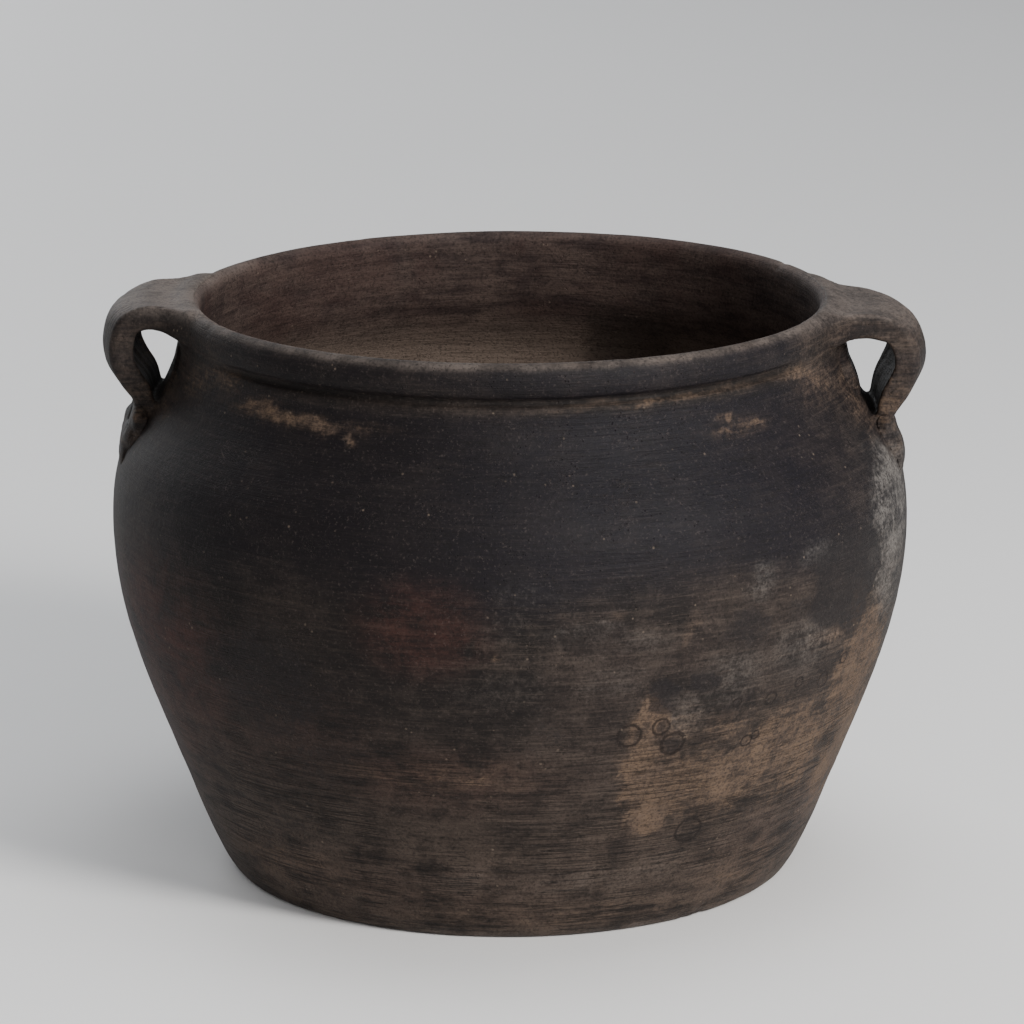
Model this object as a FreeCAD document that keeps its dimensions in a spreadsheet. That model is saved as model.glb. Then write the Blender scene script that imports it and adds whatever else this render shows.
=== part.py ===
import FreeCAD, Part
import math
import os
import Sketcher

# Two-handled round-bellied clay pot, built up by hand from separate pieces of
# clay: a slab floor, two courses of wall, a rolled rim coil, two pulled strap
# handles and the luting clay that beds the ends of each handle.
# Frame: +Z up, origin at the middle of the flat underside, handles on X.

doc = FreeCAD.newDocument("clay_pot")

# ---------------------------------------------------------------- dimensions
DIMS = [
    # outside of the body, from the foot up: radius and height of each station
    ("foot_flat_radius", 106.34), ("foot_edge_round", 2.0),
    ("foot_radius", 108.14), ("foot_height", 1.14),
    ("slab_top_radius", 111.9), ("slab_thickness", 9.0),
    ("flank_radius", 129.8), ("flank_height", 52.4),
    ("course_radius", 148.11), ("course_height", 110.0),
    ("belly_radius", 150.03), ("belly_height", 140.0),
    ("shoulder_radius", 146.37), ("shoulder_height", 160.0),
    ("slope_radius", 136.28), ("slope_height", 176.0),
    ("throat_radius", 129.14), ("throat_height", 186.0),
    ("neck_radius", 123.69), ("neck_height", 203.0),
    # sweep radii of the outside between those stations
    ("slab_sweep", 660.0), ("flank_sweep", 661.0), ("course_sweep", 295.3),
    ("belly_sweep", 136.1), ("shoulder_sweep", 69.9), ("slope_sweep", 59.1),
    ("throat_sweep", 97.9), ("neck_sweep", 32.3),
    # inside of the body
    ("corner_radius", 98.0), ("corner_sweep", 9.0),
    ("heel_radius", 106.9), ("heel_height", 17.6),
    ("inner_flank_radius", 123.4), ("inner_flank_height", 55.0),
    ("inner_course_radius", 141.9), ("inner_course_height", 114.0),
    ("inner_belly_radius", 143.7), ("inner_belly_height", 139.6),
    ("inner_shoulder_radius", 140.4), ("inner_shoulder_height", 157.7),
    ("inner_slope_radius", 131.2), ("inner_slope_height", 172.0),
    ("inner_throat_radius", 123.7), ("inner_throat_height", 182.7),
    ("inner_neck_radius", 117.2), ("inner_neck_height", 205.5),
    ("heel_sweep", 900.0), ("inner_course_sweep", 290.0), ("inner_belly_sweep", 126.0),
    ("inner_shoulder_sweep", 64.0), ("inner_slope_sweep", 53.0),
    ("inner_throat_sweep", 104.0), ("inner_neck_sweep", 39.0),
    # rim coil
    ("groove_radius", 122.0), ("groove_low", 204.2), ("groove_high", 205.8),
    ("collar_radius", 124.1), ("collar_height", 208.8), ("collar_sweep", 4.0),
    ("lip_outer_radius", 123.6), ("lip_outer_height", 214.4), ("lip_outer_sweep", 3.8),
    ("crest_radius", 119.8), ("crest_height", 218.2), ("lip_inner_sweep", 3.6),
    ("lip_inner_radius", 116.2), ("lip_inner_height", 214.6),
    ("trim_top", 232.0),
    # strap handles
    ("strap_width", 50.0), ("strap_half_width", 25.0), ("strap_thickness", 8.5), ("strap_edge_round", 3.0),
    ("strap_start", 112.0),
    ("left_under_height", 210.45), ("right_under_height", 209.15),
    # luting clay
    ("luting_width", 45.0),
    ("bed_across", 30.5), ("bed_along", 15.5), ("bed_depth", 6.6),
]

# Strap centrelines, as the corners of a polyline in the XZ half-plane and the
# bend at each inner corner. The centre of each bend is worked out here and
# stored in the sheet, and the sketch is then driven by centres and radii.
STRAPS = {
    "left": ([(112.0, 214.7), (149.4, 214.9), (148.2, 197.0), (135.0, 177.0), (142.9, 159.5)], [12.0, 14.0, 14.0]),
    "right": ([(112.0, 213.4), (153.6, 208.2), (152.6, 190.5), (138.3, 172.5), (145.6, 156.0)], [12.5, 14.0, 13.0]),
}


def fillet_centre(a, b, c, radius):
    v0 = FreeCAD.Vector(a[0] - b[0], a[1] - b[1], 0).normalize()
    v1 = FreeCAD.Vector(c[0] - b[0], c[1] - b[1], 0).normalize()
    half = v0.getAngle(v1) / 2.0
    bis = (v0 + v1).normalize()
    ctr = FreeCAD.Vector(b[0], b[1], 0) + bis * (radius / math.sin(half))
    run = radius / math.tan(half)
    return ctr, FreeCAD.Vector(b[0], b[1], 0) + v0 * run, FreeCAD.Vector(b[0], b[1], 0) + v1 * run


WORDS = ["shoulder_bend", "waist_bend", "toe_bend"]
for side, (pts, bends) in STRAPS.items():
    DIMS.append((side + "_start_height", pts[0][1]))
    DIMS.append((side + "_end_reach", pts[-1][0]))
    DIMS.append((side + "_end_height", pts[-1][1]))
    for word, i in zip(WORDS, (1, 2, 3)):
        ctr, _, _ = fillet_centre(pts[i - 1], pts[i], pts[i + 1], bends[i - 1])
        DIMS.append((side + "_" + word + "_radius", bends[i - 1]))
        DIMS.append((side + "_" + word + "_reach", ctr.x))
        DIMS.append((side + "_" + word + "_height", ctr.y))

# Cross-section corners of the fillet of clay in each armpit (reach, height)
ARMPIT = {
    "left": [("back_low", 114.0, 192.0), ("toe", 127.2, 192.0), ("tip", 135.0, 212.6), ("back_high", 114.0, 212.6)],
    "right": [("back_low", 114.0, 187.0), ("toe", 130.6, 187.0), ("tip", 136.0, 210.0), ("back_high", 114.0, 210.0)],
}
for side, corners in ARMPIT.items():
    for word, reach, height in corners:
        DIMS.append((side + "_armpit_" + word + "_reach", reach))
        DIMS.append((side + "_armpit_" + word + "_height", height))
    DIMS.append((side + "_armpit_sweep", {"left": 13.5, "right": 17.0}[side]))

# Where each lower bed of luting clay sits, and its tilt along the shoulder
BED = {"left": (144.4, 163.4, 23.0), "right": (146.2, 159.6, 21.0)}
for side, (reach, height, tilt) in BED.items():
    DIMS.append((side + "_bed_reach", reach))
    DIMS.append((side + "_bed_height", height))
    DIMS.append((side + "_bed_tilt", tilt))

sheet = doc.addObject("Spreadsheet::Sheet", "Dims")
VALUE = {}
for row, (alias, value) in enumerate(DIMS, start=1):
    sheet.set("A%d" % row, alias.replace("_", " "))
    sheet.set("B%d" % row, "%.6g" % value)
    sheet.setAlias("B%d" % row, alias)
    VALUE[alias] = float("%.6g" % value)
doc.recompute()


# ------------------------------------------------------------------- helpers
def origin_feature(body, role):
    for feature in body.Origin.OriginFeatures:
        if feature.Role == role:
            return feature
    raise RuntimeError(role)


def new_sketch(body, name, plane, offset=None):
    sk = body.newObject("Sketcher::SketchObject", name)
    sk.AttachmentSupport = [(origin_feature(body, plane), "")]
    sk.MapMode = "FlatFace"
    if offset is not None:
        sk.AttachmentOffset = FreeCAD.Placement(offset, FreeCAD.Rotation())
    return sk


def bind(sk, index, alias):
    label = "c%d_%s" % (index, alias)
    sk.renameConstraint(index, label)
    sk.setExpression("Constraints." + label, "Dims." + alias)


def loop_sketch(sk, points, edges):
    """A closed loop. points: (x alias or None for the axis, y alias or None for
    the ground). edges[i] joins point i to the next: None for a line, or
    (alias of radius, side), side +1 with the centre to the left of travel."""
    xy = [FreeCAD.Vector(VALUE[a] if a else 0.0, VALUE[b] if b else 0.0, 0) for a, b in points]
    ends = []
    count = len(points)
    for i in range(count):
        a, b = xy[i], xy[(i + 1) % count]
        if edges[i] is None:
            g = sk.addGeometry(Part.LineSegment(a, b), False)
            ends.append((g, 1, 2))
            continue
        radius, side = VALUE[edges[i][0]], edges[i][1]
        d = b - a
        half = d.Length / 2.0
        rise = math.sqrt(max(radius * radius - half * half, 0.0))
        left = FreeCAD.Vector(-d.y, d.x, 0).normalize()
        ctr = a + d * 0.5 + left * (rise * side)
        t0 = math.atan2(a.y - ctr.y, a.x - ctr.x)
        t1 = math.atan2(b.y - ctr.y, b.x - ctr.x)
        if side < 0:
            t0, t1 = t1, t0
        while t1 < t0:
            t1 += 2 * math.pi
        circle = Part.Circle(ctr, FreeCAD.Vector(0, 0, 1), radius)
        g = sk.addGeometry(Part.ArcOfCircle(circle, t0, t1), False)
        ends.append((g, 1, 2) if side > 0 else (g, 2, 1))
    for i in range(count):
        g, start, _ = ends[i]
        pg, _, pend = ends[i - 1]
        sk.addConstraint(Sketcher.Constraint("Coincident", pg, pend, g, start))
    for i, (ax, ay) in enumerate(points):
        g, start, _ = ends[i]
        if ax is None and ay is None:
            sk.addConstraint(Sketcher.Constraint("Coincident", g, start, -1, 1))
            continue
        if ax is None:
            sk.addConstraint(Sketcher.Constraint("PointOnObject", g, start, -2))
        else:
            bind(sk, sk.addConstraint(Sketcher.Constraint("DistanceX", -1, 1, g, start, xy[i].x)), ax)
        if ay is None:
            sk.addConstraint(Sketcher.Constraint("PointOnObject", g, start, -1))
        else:
            bind(sk, sk.addConstraint(Sketcher.Constraint("DistanceY", -1, 1, g, start, xy[i].y)), ay)
    for i, edge in enumerate(edges):
        if edge is not None:
            bind(sk, sk.addConstraint(Sketcher.Constraint("Radius", ends[i][0], VALUE[edge[0]])), edge[0])


def turned_body(name, points, edges):
    body = doc.addObject("PartDesign::Body", name)
    sk = new_sketch(body, name + "_profile", "XZ_Plane")
    loop_sketch(sk, points, edges)
    doc.recompute()
    rev = body.newObject("PartDesign::Revolution", name + "_turned")
    rev.Profile = sk
    rev.ReferenceAxis = (sk, ["V_Axis"])
    rev.Angle = 360.0
    body.Tip = rev
    doc.recompute()
    return body


def strap_body(name, side):
    """A pulled strap: a rounded-rectangle section swept along a path of
    straight runs and tangent bends."""
    pts, bends = STRAPS[side]
    body = doc.addObject("PartDesign::Body", name)
    path = new_sketch(body, name + "_path", "XZ_Plane")
    vec = [FreeCAD.Vector(p[0], p[1], 0) for p in pts]
    chain, cursor = [], vec[0]
    for i in (1, 2, 3):
        ctr, t_in, t_out = fillet_centre(pts[i - 1], pts[i], pts[i + 1], bends[i - 1])
        g = path.addGeometry(Part.LineSegment(cursor, t_in), False)
        chain.append((g, 1, 2))
        turn = (vec[i].x - vec[i - 1].x) * (vec[i + 1].y - vec[i].y) - (vec[i].y - vec[i - 1].y) * (vec[i + 1].x - vec[i].x)
        a0 = math.atan2(t_in.y - ctr.y, t_in.x - ctr.x)
        a1 = math.atan2(t_out.y - ctr.y, t_out.x - ctr.x)
        if turn < 0:
            a0, a1 = a1, a0
        while a1 < a0:
            a1 += 2 * math.pi
        circle = Part.Circle(ctr, FreeCAD.Vector(0, 0, 1), bends[i - 1])
        g = path.addGeometry(Part.ArcOfCircle(circle, a0, a1), False)
        chain.append((g, 1, 2) if turn > 0 else (g, 2, 1))
        cursor = t_out
    g = path.addGeometry(Part.LineSegment(cursor, vec[-1]), False)
    chain.append((g, 1, 2))
    for (g0, _, e0), (g1, s1, _) in zip(chain[:-1], chain[1:]):
        path.addConstraint(Sketcher.Constraint("Tangent", g0, e0, g1, s1))
    bind(path, path.addConstraint(Sketcher.Constraint("DistanceX", -1, 1, chain[0][0], 1, vec[0].x)), "strap_start")
    bind(path, path.addConstraint(Sketcher.Constraint("DistanceY", -1, 1, chain[0][0], 1, vec[0].y)), side + "_start_height")
    bind(path, path.addConstraint(Sketcher.Constraint("DistanceX", -1, 1, chain[-1][0], 2, vec[-1].x)), side + "_end_reach")
    bind(path, path.addConstraint(Sketcher.Constraint("DistanceY", -1, 1, chain[-1][0], 2, vec[-1].y)), side + "_end_height")
    for k, word in enumerate(WORDS):
        g = chain[2 * k + 1][0]
        tag = side + "_" + word
        bind(path, path.addConstraint(Sketcher.Constraint("Radius", g, VALUE[tag + "_radius"])), tag + "_radius")
        bind(path, path.addConstraint(Sketcher.Constraint("DistanceX", -1, 1, g, 3, VALUE[tag + "_reach"])), tag + "_reach")
        bind(path, path.addConstraint(Sketcher.Constraint("DistanceY", -1, 1, g, 3, VALUE[tag + "_height"])), tag + "_height")
    doc.recompute()

    section = new_sketch(body, name + "_section", "YZ_Plane", FreeCAD.Vector(0, 0, VALUE["strap_start"]))
    section.setExpression("AttachmentOffset.Base.z", "Dims.strap_start")
    w, t, rr = VALUE["strap_width"] / 2.0, VALUE["strap_thickness"], VALUE["strap_edge_round"]
    low = VALUE[side + "_under_height"]
    V = FreeCAD.Vector
    lines = [
        (V(-w + rr, low, 0), V(w - rr, low, 0)),
        (V(w, low + rr, 0), V(w, low + t - rr, 0)),
        (V(w - rr, low + t, 0), V(-w + rr, low + t, 0)),
        (V(-w, low + t - rr, 0), V(-w, low + rr, 0)),
    ]
    centres = [V(w - rr, low + rr, 0), V(w - rr, low + t - rr, 0), V(-w + rr, low + t - rr, 0), V(-w + rr, low + rr, 0)]
    gl, ga = [], []
    for i in range(4):
        gl.append(section.addGeometry(Part.LineSegment(*lines[i]), False))
        start = -math.pi / 2 + i * math.pi / 2
        ga.append(section.addGeometry(Part.ArcOfCircle(Part.Circle(centres[i], V(0, 0, 1), rr), start, start + math.pi / 2), False))
    for i in range(4):
        section.addConstraint(Sketcher.Constraint("Tangent", gl[i], 2, ga[i], 1))
        section.addConstraint(Sketcher.Constraint("Tangent", ga[i], 2, gl[(i + 1) % 4], 1))
    section.addConstraint(Sketcher.Constraint("Horizontal", gl[0]))
    section.addConstraint(Sketcher.Constraint("Horizontal", gl[2]))
    section.addConstraint(Sketcher.Constraint("Vertical", gl[1]))
    section.addConstraint(Sketcher.Constraint("Vertical", gl[3]))
    for g in ga[1:]:
        section.addConstraint(Sketcher.Constraint("Equal", ga[0], g))
    bind(section, section.addConstraint(Sketcher.Constraint("DistanceX", -1, 1, gl[1], 1, w)), "strap_half_width")
    bind(section, section.addConstraint(Sketcher.Constraint("Radius", ga[0], rr)), "strap_edge_round")
    bind(section, section.addConstraint(Sketcher.Constraint("DistanceX", gl[3], 1, gl[1], 1, 2 * w)), "strap_width")
    bind(section, section.addConstraint(Sketcher.Constraint("DistanceY", gl[0], 1, gl[2], 1, t)), "strap_thickness")
    bind(section, section.addConstraint(Sketcher.Constraint("DistanceY", -1, 1, gl[0], 1, low)), side + "_under_height")
    doc.recompute()

    pipe = body.newObject("PartDesign::AdditivePipe", name + "_pulled")
    pipe.Profile = section
    pipe.Spine = (path, ["Edge%d" % (i + 1) for i in range(len(chain))])
    pipe.Mode = "Standard"
    body.Tip = pipe
    doc.recompute()
    return body


def armpit_body(name, side):
    """A straight run of luting clay with a hollow face, pressed under the
    strap against the neck."""
    body = doc.addObject("PartDesign::Body", name)
    sk = new_sketch(body, name + "_profile", "XZ_Plane")
    tag = side + "_armpit_"
    points = [(tag + w + "_reach", tag + w + "_height") for w in ("back_low", "toe", "tip", "back_high")]
    loop_sketch(sk, points, [None, (tag + "sweep", -1), None, None])
    doc.recompute()
    pad = body.newObject("PartDesign::Pad", name + "_run")
    pad.Profile = sk
    pad.Midplane = True
    pad.setExpression("Length", "Dims.luting_width")
    body.Tip = pad
    doc.recompute()
    return body


def bed_blank(name, side):
    """A flattened lump of luting clay lying along the slope of the shoulder."""
    lump = doc.addObject("Part::Ellipsoid", name)
    lump.setExpression("Radius1", "Dims.bed_along")
    lump.setExpression("Radius2", "Dims.bed_depth")
    lump.setExpression("Radius3", "Dims.bed_across")
    lump.Angle1, lump.Angle2, lump.Angle3 = -90.0, 90.0, 360.0
    lump.Placement = FreeCAD.Placement(
        FreeCAD.Vector(VALUE[side + "_bed_reach"], 0, VALUE[side + "_bed_height"]),
        FreeCAD.Rotation(FreeCAD.Vector(0, 1, 0), -VALUE[side + "_bed_tilt"]))
    lump.setExpression("Placement.Base.x", "Dims." + side + "_bed_reach")
    lump.setExpression("Placement.Base.z", "Dims." + side + "_bed_height")
    doc.recompute()
    return lump


def cut(name, base, tool):
    op = doc.addObject("Part::Cut", name)
    op.Base = base
    op.Tool = tool
    doc.recompute()
    return op


# ------------------------------------------------------------- turned pieces
# Slab floor: a round pat of clay, its edge lightly rounded underneath.
turned_body(
    "base_floor",
    [(None, None), ("foot_flat_radius", None), ("foot_radius", "foot_height"), ("slab_top_radius", "slab_thickness"),
     (None, "slab_thickness")],
    [None, ("foot_edge_round", 1), ("slab_sweep", 1), None, None],
)
# Lower course of wall, from the slab to just under the belly. Its lower inner
# corner is smoothed into the floor, and its top edge is bevelled for the join.
turned_body(
    "wall_lower",
    [("corner_radius", "slab_thickness"), ("slab_top_radius", "slab_thickness"), ("flank_radius", "flank_height"),
     ("course_radius", "course_height"), ("inner_course_radius", "inner_course_height"),
     ("inner_flank_radius", "inner_flank_height"), ("heel_radius", "heel_height")],
    [None, ("flank_sweep", 1), ("course_sweep", 1), None, ("inner_course_sweep", -1), ("heel_sweep", -1), ("corner_sweep", 1)],
)

# Upper course: belly, shoulder and neck.
turned_body(
    "wall_upper",
    [("course_radius", "course_height"), ("belly_radius", "belly_height"), ("shoulder_radius", "shoulder_height"),
     ("slope_radius", "slope_height"), ("throat_radius", "throat_height"), ("neck_radius", "neck_height"),
     ("inner_neck_radius", "inner_neck_height"), ("inner_throat_radius", "inner_throat_height"),
     ("inner_slope_radius", "inner_slope_height"), ("inner_shoulder_radius", "inner_shoulder_height"),
     ("inner_belly_radius", "inner_belly_height"), ("inner_course_radius", "inner_course_height")],
    [("belly_sweep", 1), ("shoulder_sweep", 1), ("slope_sweep", 1), ("throat_sweep", -1), ("neck_sweep", -1), None,
     ("inner_neck_sweep", 1), ("inner_throat_sweep", 1), ("inner_slope_sweep", -1), ("inner_shoulder_sweep", -1),
     ("inner_belly_sweep", -1), None],
)

# Rim: a rolled coil laid on the neck, standing proud as a low collar over a
# tool-pressed groove, with a rounded lip.
turned_body(
    "rim_collar",
    [("neck_radius", "neck_height"), ("groove_radius", "groove_low"), ("groove_radius", "groove_high"),
     ("collar_radius", "collar_height"), ("lip_outer_radius", "lip_outer_height"), ("crest_radius", "crest_height"),
     ("lip_inner_radius", "lip_inner_height"), ("inner_neck_radius", "inner_neck_height")],
    [None, None, ("collar_sweep", 1), None, ("lip_outer_sweep", 1), ("lip_inner_sweep", 1), None, None],
)

# Everything inside the outside skin of the pot, up through the mouth. The
# handles and luting clay are cut back to it so that they meet face to face.
envelope = turned_body(
    "outside_envelope",
    [(None, None), ("foot_flat_radius", None), ("foot_radius", "foot_height"), ("slab_top_radius", "slab_thickness"),
     ("flank_radius", "flank_height"), ("course_radius", "course_height"), ("belly_radius", "belly_height"),
     ("shoulder_radius", "shoulder_height"),
     ("slope_radius", "slope_height"), ("throat_radius", "throat_height"), ("neck_radius", "neck_height"),
     ("groove_radius", "groove_low"), ("groove_radius", "groove_high"), ("collar_radius", "collar_height"),
     ("lip_outer_radius", "lip_outer_height"), ("crest_radius", "crest_height"), ("crest_radius", "trim_top"),
     (None, "trim_top")],
    [None, ("foot_edge_round", 1), ("slab_sweep", 1), ("flank_sweep", 1), ("course_sweep", 1), ("belly_sweep", 1),
     ("shoulder_sweep", 1), ("slope_sweep", 1), ("throat_sweep", -1), ("neck_sweep", -1), None, None, ("collar_sweep", 1), None,
     ("lip_outer_sweep", 1), None, None, None],
)

# ---------------------------------------------------------- handles, luting
outputs = ["base_floor", "wall_lower", "wall_upper", "rim_collar"]
HALF_TURN = FreeCAD.Placement(FreeCAD.Vector(0, 0, 0), FreeCAD.Rotation(FreeCAD.Vector(0, 0, 1), 180))
for side in ("left", "right"):
    strap = strap_body(side + "_strap_blank", side)
    armpit = armpit_body(side + "_armpit_blank", side)
    bed = bed_blank(side + "_bed_blank", side)
    handle = cut("handle_" + side, strap, envelope)
    upper = cut("luting_" + side + "_upper", cut(side + "_armpit_trim", armpit, envelope), strap)
    lower = cut("luting_" + side + "_lower", cut(side + "_bed_trim", bed, envelope), strap)
    if side == "left":
        for piece in (handle, upper, lower):
            piece.Placement = HALF_TURN
    outputs += [handle.Name, upper.Name, lower.Name]
doc.recompute()

# ------------------------------------------------------------ check and write
bad = [o.Name + " " + ",".join(o.State) for o in doc.Objects if "Invalid" in o.State or "Error" in o.State]
if bad:
    raise RuntimeError("objects failed: %s" % bad)
os.makedirs("parts", exist_ok=True)
for name in outputs:
    obj = doc.getObject(name)
    obj.Label = name
    shape = obj.Shape
    if shape.isNull() or not shape.isValid():
        raise RuntimeError("bad shape: " + name)
    tight = shape.optimalBoundingBox(False, False)
    print("%-20s solids %d volume %10.1f mm3  box %s" % (
        name, len(shape.Solids), shape.Volume,
        " ".join("%.1f" % v for v in (tight.XMin, tight.XMax, tight.YMin, tight.YMax, tight.ZMin, tight.ZMax))))
    shape.exportStep(os.path.join("parts", name + ".step"))
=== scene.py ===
import math

import bpy
import numpy as np
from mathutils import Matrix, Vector


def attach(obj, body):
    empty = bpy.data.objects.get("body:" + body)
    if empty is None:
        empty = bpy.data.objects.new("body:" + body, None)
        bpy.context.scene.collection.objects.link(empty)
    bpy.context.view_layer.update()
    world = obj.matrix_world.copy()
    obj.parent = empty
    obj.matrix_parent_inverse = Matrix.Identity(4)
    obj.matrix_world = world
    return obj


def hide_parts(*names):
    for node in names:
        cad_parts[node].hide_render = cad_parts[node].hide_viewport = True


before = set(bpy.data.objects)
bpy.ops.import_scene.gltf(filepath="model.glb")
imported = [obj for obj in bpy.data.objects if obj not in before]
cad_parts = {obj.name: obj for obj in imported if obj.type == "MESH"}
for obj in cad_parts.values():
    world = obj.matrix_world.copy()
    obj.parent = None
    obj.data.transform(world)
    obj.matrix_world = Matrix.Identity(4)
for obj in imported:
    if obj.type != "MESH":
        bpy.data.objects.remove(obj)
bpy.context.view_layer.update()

MM = 0.001
RNG = np.random.RandomState(7)


# ---------------------------------------------------------------- noise (numpy)
def _hash(ix, iy, iz, seed):
    n = (ix.astype(np.int64) * 374761393 + iy.astype(np.int64) * 668265263 + iz.astype(np.int64) * 2147483647 + seed * 974634777) & 0xFFFFFFFF
    n = ((n ^ (n >> 13)) * 1274126177) & 0xFFFFFFFF
    n = ((n ^ (n >> 16)) * 2246822519) & 0xFFFFFFFF
    n = n ^ (n >> 15)
    return (n & 0xFFFFFF) / float(0xFFFFFF) * 2.0 - 1.0


def vnoise(P, seed=0):
    """Smooth value noise, about -1 to 1. P is (n, 3)."""
    P = np.asarray(P, float)
    i = np.floor(P)
    f = P - i
    u = f * f * f * (f * (f * 6 - 15) + 10)
    i = i.astype(np.int64)
    out = 0.0
    for dx in (0, 1):
        wx = u[:, 0] if dx else 1 - u[:, 0]
        for dy in (0, 1):
            wy = u[:, 1] if dy else 1 - u[:, 1]
            for dz in (0, 1):
                wz = u[:, 2] if dz else 1 - u[:, 2]
                out = out + wx * wy * wz * _hash(i[:, 0] + dx, i[:, 1] + dy, i[:, 2] + dz, seed)
    return out


def fbm(P, seed=0, octaves=4, gain=0.5):
    out, amp, total = 0.0, 1.0, 0.0
    for k in range(octaves):
        out = out + amp * vnoise(np.asarray(P) * (2.03 ** k) + 17.3 * k, seed + 31 * k)
        total += amp
        amp *= gain
    return out / total


def noise1(t, seed=0):
    t = np.asarray(t, float)
    return vnoise(np.stack([t, 0 * t + 0.5, 0 * t + 0.5], -1), seed)


def sstep(a, b, x):
    t = np.clip((x - a) / (b - a), 0, 1)
    return t * t * (3 - 2 * t)


def smin(a, b, k):
    h = np.maximum(k - np.abs(a - b), 0) / k
    return np.minimum(a, b) - h * h * k * 0.25


# ------------------------------------------------------------- profile (r, z), mm
def natural_cubic(x, y):
    n = len(x)
    h = np.diff(x)
    A = np.eye(n)
    b = np.zeros(n)
    for i in range(1, n - 1):
        A[i, i - 1], A[i, i], A[i, i + 1] = h[i - 1], 2 * (h[i - 1] + h[i]), h[i]
        b[i] = 6 * ((y[i + 1] - y[i]) / h[i] - (y[i] - y[i - 1]) / h[i - 1])
    m = np.linalg.solve(A, b)

    def f(t):
        k = np.clip(np.searchsorted(x, t) - 1, 0, n - 2)
        a, c = x[k + 1] - t, t - x[k]
        return (m[k] * a ** 3 + m[k + 1] * c ** 3) / (6 * h[k]) + (y[k] / h[k] - m[k] * h[k] / 6) * a + (y[k + 1] / h[k] - m[k + 1] * h[k] / 6) * c
    return f


def catmull(K, per=24):
    """Chord-length Catmull-Rom through the rows of K (any number of columns)."""
    K = np.asarray(K, float)
    d = np.linalg.norm(np.diff(K[:, :2], axis=0), axis=1)
    t = np.concatenate([[0], np.cumsum(d)])
    m = np.zeros_like(K)
    m[1:-1] = (K[2:] - K[:-2]) / (t[2:] - t[:-2])[:, None]
    m[0] = (K[1] - K[0]) / d[0]
    m[-1] = (K[-1] - K[-2]) / d[-1]
    out = []
    for i in range(len(K) - 1):
        s = np.linspace(0, 1, per, endpoint=False)[:, None]
        h = d[i]
        out.append((2 * s ** 3 - 3 * s ** 2 + 1) * K[i] + (s ** 3 - 2 * s ** 2 + s) * h * m[i] + (-2 * s ** 3 + 3 * s ** 2) * K[i + 1] + (s ** 3 - s ** 2) * h * m[i + 1])
    out.append(K[-1:])
    return np.concatenate(out)


ZK = np.array([6.5, 17.5, 32.7, 52.4, 78.6, 104.7, 126.6, 148.4, 165.8, 181.1, 194.2, 200.5])
RK = np.array([110.7, 115.8, 121.9, 129.8, 139.7, 147.1, 150.0, 149.2, 143.6, 132.4, 125.2, 123.8])
rofz = natural_cubic(ZK, RK)

zs = np.arange(6.5, 200.4, 0.4)
wall = np.stack([rofz(zs), zs], -1)
foot = catmull([(0.5, 0.0), (40, 0.0), (90, 0.0), (102.5, 0.0), (105.6, 0.25), (107.3, 1.2), (108.3, 2.6), (110.7, 6.5)], 20)[:-1]
rim = catmull([(123.8, 200.5), (123.2, 202.4), (121.9, 203.4), (121.3, 204.5), (121.9, 205.8), (123.4, 207.0), (124.1, 209.0),
               (124.2, 211.8), (123.7, 214.3), (122.4, 216.7), (120.4, 218.05), (118.6, 218.0), (117.0, 216.9), (116.2, 214.9),
               (116.1, 211.8), (116.6, 207.5), (117.4, 202.5)], 14)
inner = catmull([(117.4, 202.5), (118.6, 196.5), (121.2, 188.0), (125.6, 180.0), (131.4, 172.0), (137.3, 163.8), (141.3, 155.4),
                 (143.5, 144.5), (144.0, 132.5), (142.6, 117.0), (138.6, 96.0), (132.2, 75.5), (123.2, 53.5), (113.6, 31.5),
                 (108.0, 19.5), (104.4, 13.2), (98.8, 9.9), (90, 8.8), (72, 8.9), (45, 9.1), (20, 8.7), (0.5, 8.6)], 18)[1:]
path = np.concatenate([foot, wall, rim, inner])
seg = np.linalg.norm(np.diff(path, axis=0), axis=1)
keep = np.concatenate([[True], seg > 1e-6])
path = path[keep]
arc = np.concatenate([[0], np.cumsum(np.linalg.norm(np.diff(path, axis=0), axis=1))])
crest_arc = arc[np.argmax(path[:, 1])]


def row_step(r, z, s):
    if s < crest_arc:
        if z < 0.5 and r < 103:
            return 5.0
        if z < 7:
            return 0.8
        if 25.5 < z < 32.5:
            return 0.55
        if z > 199:
            return 0.5
        return 1.3
    if z > 208:
        return 0.6
    if z < 12:
        return 2.4
    return 1.6


rows = [0.0]
while rows[-1] < arc[-1] - 0.4:
    s = rows[-1]
    rows.append(min(s + row_step(np.interp(s, arc, path[:, 0]), np.interp(s, arc, path[:, 1]), s), arc[-1]))
rows = np.array(rows)
PR, PZ = np.interp(rows, arc, path[:, 0]), np.interp(rows, arc, path[:, 1])
tr = np.interp(rows + 0.3, arc, path[:, 0]) - np.interp(rows - 0.3, arc, path[:, 0])
tz = np.interp(rows + 0.3, arc, path[:, 1]) - np.interp(rows - 0.3, arc, path[:, 1])
ln = np.hypot(tr, tz)
NR, NZ = tz / ln, -tr / ln            # outward normal of the clay in the (r, z) plane
OUTSIDE = rows <= crest_arc
NA = 512
NROW = len(rows)

# Signed distance to the undisplaced cross-section, on a grid over the upper half
GS = 0.4
gr = np.arange(100, 176, GS)
gz = np.arange(128, 236, GS)
poly = path[::3]
closed = np.concatenate([poly, [[0.0, 8.6], [0.0, 0.0]], poly[:1]])


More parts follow.
